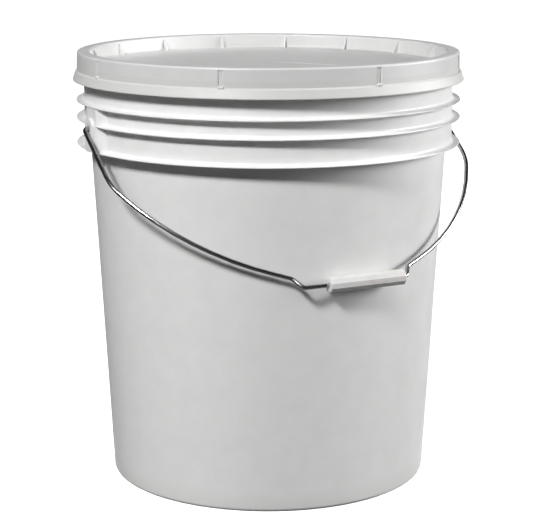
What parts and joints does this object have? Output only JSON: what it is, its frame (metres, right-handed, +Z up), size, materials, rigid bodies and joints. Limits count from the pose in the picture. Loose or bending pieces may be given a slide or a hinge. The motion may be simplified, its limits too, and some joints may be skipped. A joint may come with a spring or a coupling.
{
  "type": "plastic fermenting bucket",
  "caption": "Tapered round plastic fermenting bucket with ribbed collar, press-on gasketed lid and swinging wire bail with a loose sleeve grip.",
  "frame": {"origin": "centre of the base, on the ground", "axes": "+Z up the bucket's own axis, X through the two ears and along the bail's pivot, the bail hangs towards -Y"},
  "size_m": [0.3662, 0.356, 0.3932],
  "materials": {
    "pail_plastic": "satin moulded HDPE",
    "lid_plastic": "satin moulded HDPE",
    "gasket_rubber": "soft matt",
    "bail_steel": "bright galvanised wire",
    "grip_plastic": "satin moulded"
  },
  "bodies": {
    "pail": {"pail_body": "pail_plastic"},
    "lid": {"lid": "lid_plastic", "lid_gasket": "gasket_rubber"},
    "bail": {"bail_wire": "bail_steel"},
    "grip": {"bail_grip": "grip_plastic"}
  },
  "joints": [
    {"name": "lid_lift", "type": "slide", "parent": "pail", "child": "lid", "axis": [0, 0, 1], "range_m": [0, 0.06]},
    {"name": "bail_swing", "type": "hinge", "parent": "pail", "child": "bail", "pos_m": [0, 0, 0.331], "axis": [-1, 0, 0], "range_deg": [0, 253.6]},
    {"name": "grip_spin", "type": "hinge", "parent": "bail", "child": "grip", "pos_m": [0, -0.16457, 0.20777], "axis": [1, 0, 0], "continuous": true}
  ]
}
